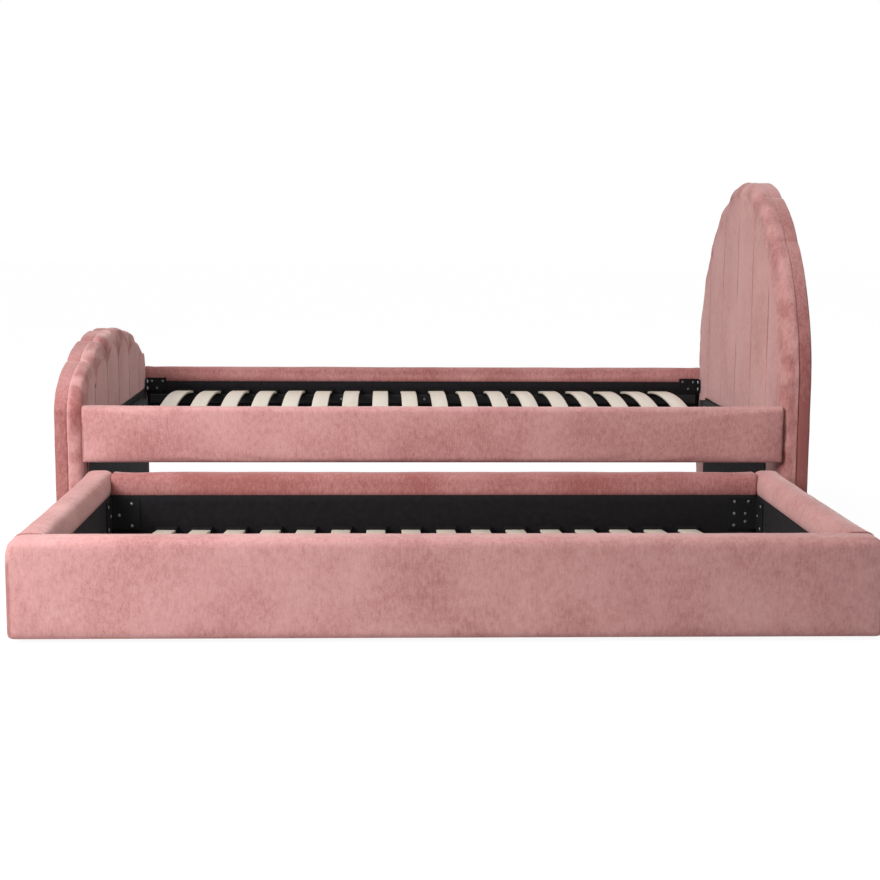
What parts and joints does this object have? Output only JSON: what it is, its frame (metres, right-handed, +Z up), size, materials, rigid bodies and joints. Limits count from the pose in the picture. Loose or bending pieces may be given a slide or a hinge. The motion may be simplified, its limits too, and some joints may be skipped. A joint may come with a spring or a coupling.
{
  "type": "trundle bed",
  "caption": "Upholstered bed with an arched channelled headboard, a lower scalloped footboard, sprung slats, and a slatted trundle that rolls out from under one side on castors.",
  "frame": {"origin": "on the floor, under the middle of the whole outline with the trundle rolled out", "axes": "+X from the footboard to the headboard, +Y from the open trundle towards the back rail, +Z up"},
  "size_m": [2.23, 2.365, 1.0975],
  "materials": {
    "pink_chenille": "dusty pink velvet chenille with darker crushed patches",
    "black_cloth": "matt black lining cloth",
    "frame_timber": "unfinished pine and plywood",
    "batten_timber": "pine painted matt black",
    "birch_slat": "pale bent birch plywood with a light lacquer",
    "black_plastic": "matt black moulded plastic",
    "black_steel": "satin black powder coat",
    "zinc_screw": "bright zinc plate",
    "zinc_plate": "zinc-plated pressed steel",
    "castor_nylon": "dark grey moulded nylon"
  },
  "bodies": {
    "bed": {"headboard_core": "frame_timber", "headboard_border": "pink_chenille", "headboard_pad": "pink_chenille", "headboard_back_cloth": "black_cloth", "headboard_lining": "black_cloth", "headboard_glides": "black_plastic", "footboard_core": "frame_timber", "footboard_border": "pink_chenille", "footboard_pad": "pink_chenille", "footboard_outer_cover": "pink_chenille", "footboard_lining": "black_cloth", "footboard_glides": "black_plastic", "front_rail_core": "frame_timber", "front_rail_upholstery": "pink_chenille", "front_rail_lining": "black_cloth", "back_rail_core": "frame_timber", "back_rail_upholstery": "pink_chenille", "back_rail_lining": "black_cloth", "front_slat_ledge": "batten_timber", "back_slat_ledge": "batten_timber", "head_cross_batten": "batten_timber", "foot_cross_batten": "batten_timber", "centre_rail": "black_steel", "centre_rail_hangers": "black_steel", "corner_brackets": "black_steel", "corner_bolts": "zinc_screw", "corner_screws": "zinc_screw", "batten_screws": "zinc_screw", "bed_slats_front_row": "birch_slat", "bed_slats_back_row": "birch_slat", "slat_holders_front": "black_plastic", "slat_holders_back": "black_plastic", "slat_holders_centre": "black_plastic"},
    "trundle": {"trundle_front_core": "frame_timber", "trundle_front_upholstery": "pink_chenille", "trundle_front_lining": "black_cloth", "trundle_rear_core": "frame_timber", "trundle_rear_upholstery": "pink_chenille", "trundle_rear_lining": "black_cloth", "trundle_head_side_core": "frame_timber", "trundle_head_side_upholstery": "pink_chenille", "trundle_head_side_lining": "black_cloth", "trundle_foot_side_core": "frame_timber", "trundle_foot_side_upholstery": "pink_chenille", "trundle_foot_side_lining": "black_cloth", "trundle_corner_brackets": "black_steel", "trundle_corner_screws": "zinc_screw", "trundle_front_ledge": "batten_timber", "trundle_rear_ledge": "batten_timber", "trundle_ledge_screws": "zinc_screw", "trundle_slats": "birch_slat", "trundle_slat_holders": "black_plastic", "castor_brackets": "zinc_plate", "castor_screws": "zinc_screw", "castor_axles": "zinc_screw"},
    "wheel_front_head": {"castor_wheel_front_head": "castor_nylon"},
    "wheel_front_foot": {"castor_wheel_front_foot": "castor_nylon"},
    "wheel_rear_head": {"castor_wheel_rear_head": "castor_nylon"},
    "wheel_rear_foot": {"castor_wheel_rear_foot": "castor_nylon"}
  },
  "joints": [
    {"name": "trundle_slide", "type": "slide", "parent": "bed", "child": "trundle", "axis": [0, 1, 0], "range_m": [0, 1.055]},
    {"name": "wheel_front_head_roll", "type": "hinge", "parent": "trundle", "child": "wheel_front_head", "pos_m": [0.921, -0.9725, 0.025], "axis": [1, 0, 0], "continuous": true},
    {"name": "wheel_front_foot_roll", "type": "hinge", "parent": "trundle", "child": "wheel_front_foot", "pos_m": [-0.921, -0.9725, 0.025], "axis": [1, 0, 0], "continuous": true},
    {"name": "wheel_rear_head_roll", "type": "hinge", "parent": "trundle", "child": "wheel_rear_head", "pos_m": [0.921, -0.3765, 0.025], "axis": [1, 0, 0], "continuous": true},
    {"name": "wheel_rear_foot_roll", "type": "hinge", "parent": "trundle", "child": "wheel_rear_foot", "pos_m": [-0.921, -0.3765, 0.025], "axis": [1, 0, 0], "continuous": true}
  ],
  "couplings": [
    {"joint": "wheel_front_head_roll", "follows": "trundle_slide", "rad_per_m": -40},
    {"joint": "wheel_front_foot_roll", "follows": "trundle_slide", "rad_per_m": -40},
    {"joint": "wheel_rear_head_roll", "follows": "trundle_slide", "rad_per_m": -40},
    {"joint": "wheel_rear_foot_roll", "follows": "trundle_slide", "rad_per_m": -40}
  ]
}
